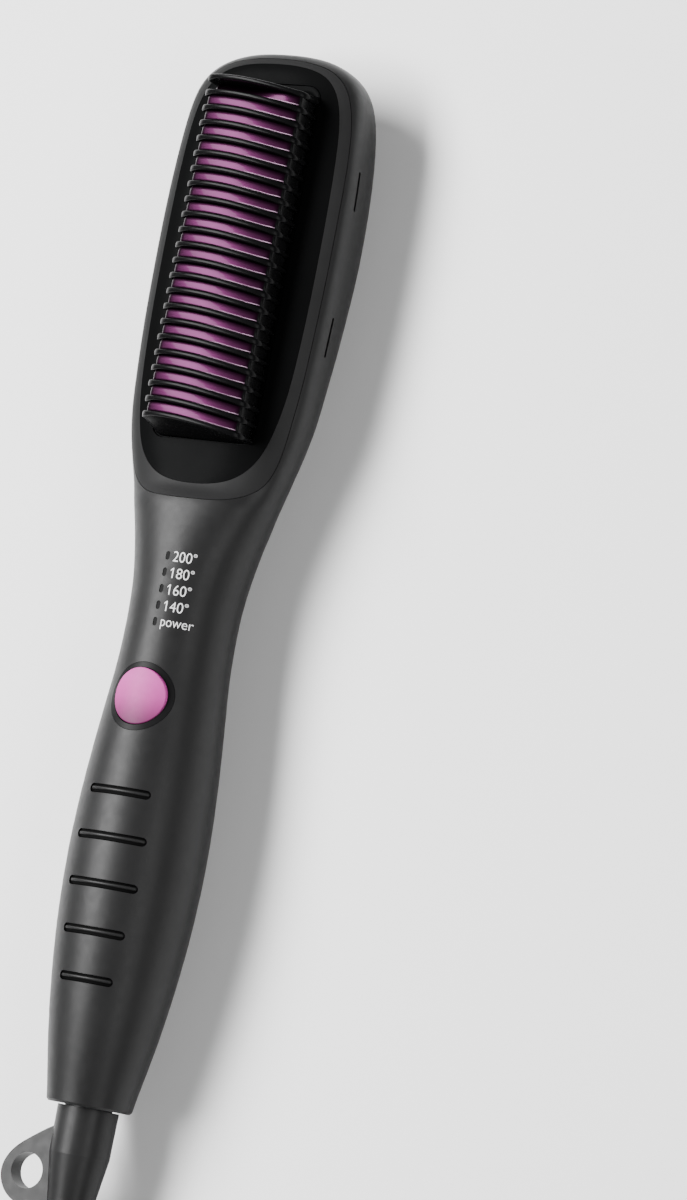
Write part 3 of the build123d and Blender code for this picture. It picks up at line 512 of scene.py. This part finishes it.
# printed scale beside the indicator windows
ink, ink_nt, ink_b = new_mat("white_print")
iv = coords(ink_nt)
ink_nt.links.new(ramp(ink_nt, noise(ink_nt, iv, 900.0), [(0.3, (0.66, 0.66, 0.66)), (0.7, (0.76, 0.76, 0.76))]), ink_b.inputs["Base Color"])
ink_b.inputs["Roughness"].default_value = 0.55
grey_ink, gnt, gb = new_mat("grey_print")
gv = coords(gnt)
gnt.links.new(ramp(gnt, noise(gnt, gv, 900.0), [(0.3, (0.34, 0.34, 0.34)), (0.7, (0.42, 0.42, 0.42))]), gb.inputs["Base Color"])
gb.inputs["Roughness"].default_value = 0.55


def print_text(name, body_text, x0, y0, size, mat, narrow=1.0):
    cu = bpy.data.curves.new(name, "FONT")
    cu.body = body_text
    cu.size = size
    cu.resolution_u = 6
    cu.offset = -0.028
    cu.extrude = 0.03
    tmp = bpy.data.objects.new(name + "_tmp", cu)
    bpy.context.scene.collection.objects.link(tmp)
    bpy.context.view_layer.update()
    me = bpy.data.meshes.new_from_object(tmp)
    bpy.data.objects.remove(tmp)
    bpy.data.curves.remove(cu)
    if body_text[0] == "1":     # the figure one gets its short slanted stroke
        left = min(v.co.x for v in me.vertices)
        top = max(v.co.y for v in me.vertices if v.co.x < left + 0.05)
        flag = [(left + 0.02, top), (left + 0.02, top - 0.40), (left - 0.56, top - 0.86), (left - 0.56, top - 0.54)]
        bmf = bmesh.new()
        bmf.from_mesh(me)
        low = [bmf.verts.new((px, py, -0.03)) for px, py in flag]
        high = [bmf.verts.new((px, py, 0.03)) for px, py in flag]
        bmf.faces.new(list(reversed(high)))
        bmf.faces.new(low)
        for k in range(4):
            bmf.faces.new((low[k], high[k], high[(k + 1) % 4], low[(k + 1) % 4]))
        bmesh.ops.recalc_face_normals(bmf, faces=bmf.faces)
        bmf.to_mesh(me)
        bmf.free()
    xs = [v.co.x for v in me.vertices]
    for v in me.vertices:
        x = x0 + v.co.x * narrow
        y = y0 + v.co.y
        v.co = mm(x, y, top_height(x, y) + 0.015 + v.co.z)
    me.materials.clear()
    me.materials.append(mat)
    me.name = name
    o = bpy.data.objects.new(name, me)
    bpy.context.scene.collection.objects.link(o)
    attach(o, "brush")
    return o, max(xs) * narrow


def print_dot(name, cx, cy, r_out, r_in, mat):
    vs, fs = [], []
    n = 20
    for rr in (r_out, r_in):
        for zz in (0.045, -0.015):
            for k in range(n):
                a = 2 * math.pi * k / n
                x, y = cx + rr * math.cos(a), cy + rr * math.sin(a)
                vs.append(mm(x, y, top_height(x, y) + zz))
    for k in range(n):
        k2 = (k + 1) % n
        o1, o2, i1, i2 = k, n + k, 2 * n + k, 3 * n + k
        p1, p2, q1, q2 = k2, n + k2, 2 * n + k2, 3 * n + k2
        fs += [(o1, p1, q1, i1), (o2, i2, q2, p2), (o1, o2, p2, p1), (i1, q1, q2, i2)]
    return mesh_piece(name, vs, fs, mat, "brush", smooth=False)


LED_YS = [4.05, -0.17, -4.39, -8.61, -12.83]
TEXT_SIZE = 3.85
for k, (ly, word) in enumerate(zip(LED_YS, ["200", "180", "160", "140", "power"])):
    label = "label_" + word
    if word == "power":
        o, w = print_text(label, word, 1.45, ly - 0.95, TEXT_SIZE * 0.96, ink, 0.80)
    else:
        o, w = print_text(label, word, 1.45, ly - 1.35, TEXT_SIZE, ink, 0.88)
        print_dot("degree_" + word, 1.45 + w + 0.68, ly + 0.85, 0.46, 0.14, grey_ink)

# ------------------------------------------------------------------ stage, light, camera
def area(name, loc, target, size, power, size_y, along=(0, 1, 0)):
    """Soft rectangular light; its long side size_y runs along the given direction."""
    l = bpy.data.lights.new(name, "AREA")
    l.energy = power
    l.size = size
    l.shape = "RECTANGLE"
    l.size_y = size_y
    o = bpy.data.objects.new(name, l)
    bpy.context.scene.collection.objects.link(o)
    z = (Vector(loc) - Vector(target)).normalized()
    y = Vector(along)
    y = (y - y.dot(z) * z).normalized()
    x = y.cross(z)
    o.matrix_world = Matrix(((x.x, y.x, z.x, loc[0]), (x.y, y.y, z.y, loc[1]), (x.z, y.z, z.z, loc[2]), (0, 0, 0, 1)))
    return o


bm = bmesh.new()
bmesh.ops.create_grid(bm, x_segments=2, y_segments=2, size=3.0)
me = bpy.data.meshes.new("floor")
bm.to_mesh(me); bm.free()
floor = bpy.data.objects.new("floor", me)
bpy.context.scene.collection.objects.link(floor)
fm, fnt, fb = new_mat("floor_pale")
fv = coords(fnt)
fnt.links.new(ramp(fnt, noise(fnt, fv, 3.0), [(0.3, (0.90, 0.90, 0.90)), (0.7, (0.92, 0.92, 0.92))]), fb.inputs["Base Color"])
fb.inputs["Roughness"].default_value = 0.9
me.materials.append(fm)

world = bpy.context.scene.world or bpy.data.worlds.new("world")
bpy.context.scene.world = world
world.use_nodes = True
bg = world.node_tree.nodes.get("Background") or world.node_tree.nodes.new("ShaderNodeBackground")
bg.inputs["Color"].default_value = (1, 1, 1, 1)
bg.inputs["Strength"].default_value = 0.12

area("key_left", (-0.62, 0.20, 0.94), (0.0, 0.05, 0.0), 0.46, 52.0, 1.20, along=(-0.30, 0.95, 0.0))
area("tail_soft", (0.0, -1.10, 0.40), (0.0, 0.0, 0.0), 0.9, 0.9, 0.12, along=(0, 0, 1))
area("right_soft", (0.74, -0.10, 0.60), (0.0, 0.0, 0.0), 0.34, 5.0, 0.90)

cam_data = bpy.data.cameras.new("camera")
cam_data.sensor_width = 36.0
cam_data.lens = 125.608
cam_data.clip_start = 0.05
cam_data.clip_end = 20.0
cam = bpy.data.objects.new("camera", cam_data)
bpy.context.scene.collection.objects.link(cam)
R = Vector((0.88313164, 0.18478735, -0.43119849))
U = Vector((-0.10863114, 0.97472367, 0.19522564))
F = Vector((-0.4563746, 0.12556836, -0.88088297))
C = Vector((0.51704474, (-130.0 + SY) / 1000.0, (913.87348 + AZ) / 1000.0))
cam.matrix_world = Matrix(((R.x, U.x, -F.x, C.x), (R.y, U.y, -F.y, C.y), (R.z, U.z, -F.z, C.z), (0, 0, 0, 1)))
bpy.context.scene.camera = cam
